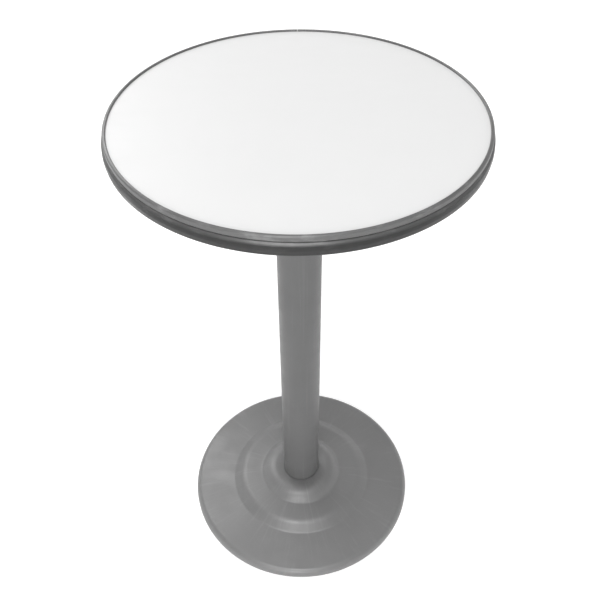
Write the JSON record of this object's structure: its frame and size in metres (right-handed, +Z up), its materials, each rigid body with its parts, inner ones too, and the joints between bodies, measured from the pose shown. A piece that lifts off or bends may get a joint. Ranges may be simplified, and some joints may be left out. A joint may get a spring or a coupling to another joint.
{
  "type": "bistro table",
  "caption": "Bar-height bistro table with a round white laminate top in a raised metal edge trim, a straight tube column and a round stepped cast base on levelling glides",
  "frame": {"origin": "on the floor, on the column's axis, with the glides screwed right in", "axes": "+Z up along the column; -Y is the front; the trim's seam is at the back, +Y"},
  "size_m": [0.6498, 0.6498, 1.1034],
  "materials": {
    "white_laminate": "satin white high-pressure laminate with a faint texture",
    "backing_sheet": "dull paper-based backing laminate",
    "particle_board": "pressed wood chips",
    "satin_trim": "dark satin anodised aluminium strip, its lower band darker than its upper bead",
    "black_casting": "black paint over a rough casting",
    "zinc_hardware": "bright zinc plate",
    "column_paint": "fine-textured grey powder coat",
    "base_paint": "fine-textured grey powder coat over cast iron",
    "black_nylon": "moulded nylon"
  },
  "bodies": {
    "table": {"top_laminate": "white_laminate", "top_core": "particle_board", "backing_laminate": "backing_sheet", "edge_trim": "satin_trim", "top_spider": "black_casting", "spider_screws": "zinc_hardware", "tie_rod": "zinc_hardware", "tie_rod_top_nut": "zinc_hardware", "tie_rod_top_washer": "zinc_hardware", "column_tube": "column_paint", "base_casting": "base_paint", "tie_rod_base_washer": "zinc_hardware", "tie_rod_lock_washer": "zinc_hardware", "tie_rod_base_nut": "zinc_hardware"},
    "glide_pad_1": {"glide_pad_1": "black_nylon"},
    "glide_stud_1": {"glide_stud_1": "zinc_hardware"},
    "glide_pad_2": {"glide_pad_2": "black_nylon"},
    "glide_stud_2": {"glide_stud_2": "zinc_hardware"},
    "glide_pad_3": {"glide_pad_3": "black_nylon"},
    "glide_stud_3": {"glide_stud_3": "zinc_hardware"},
    "glide_pad_4": {"glide_pad_4": "black_nylon"},
    "glide_stud_4": {"glide_stud_4": "zinc_hardware"}
  },
  "joints": [
    {"name": "glide_1_travel", "type": "slide", "parent": "table", "child": "glide_pad_1", "axis": [0, 0, -1], "range_m": [0, 0.00625]},
    {"name": "glide_1_turn", "type": "hinge", "parent": "glide_pad_1", "child": "glide_stud_1", "pos_m": [0.16405, 0.16405, 0], "axis": [0, 0, -1], "range_deg": [0, 1800]},
    {"name": "glide_2_travel", "type": "slide", "parent": "table", "child": "glide_pad_2", "axis": [0, 0, -1], "range_m": [0, 0.00625]},
    {"name": "glide_2_turn", "type": "hinge", "parent": "glide_pad_2", "child": "glide_stud_2", "pos_m": [-0.16405, 0.16405, 0], "axis": [0, 0, -1], "range_deg": [0, 1800]},
    {"name": "glide_3_travel", "type": "slide", "parent": "table", "child": "glide_pad_3", "axis": [0, 0, -1], "range_m": [0, 0.00625]},
    {"name": "glide_3_turn", "type": "hinge", "parent": "glide_pad_3", "child": "glide_stud_3", "pos_m": [-0.16405, -0.16405, 0], "axis": [0, 0, -1], "range_deg": [0, 1800]},
    {"name": "glide_4_travel", "type": "slide", "parent": "table", "child": "glide_pad_4", "axis": [0, 0, -1], "range_m": [0, 0.00625]},
    {"name": "glide_4_turn", "type": "hinge", "parent": "glide_pad_4", "child": "glide_stud_4", "pos_m": [0.16405, -0.16405, 0], "axis": [0, 0, -1], "range_deg": [0, 1800]}
  ],
  "couplings": [
    {"joint": "glide_1_turn", "follows": "glide_1_travel", "rad_per_m": 5026.5},
    {"joint": "glide_2_turn", "follows": "glide_2_travel", "rad_per_m": 5026.5},
    {"joint": "glide_3_turn", "follows": "glide_3_travel", "rad_per_m": 5026.5},
    {"joint": "glide_4_turn", "follows": "glide_4_travel", "rad_per_m": 5026.5}
  ]
}
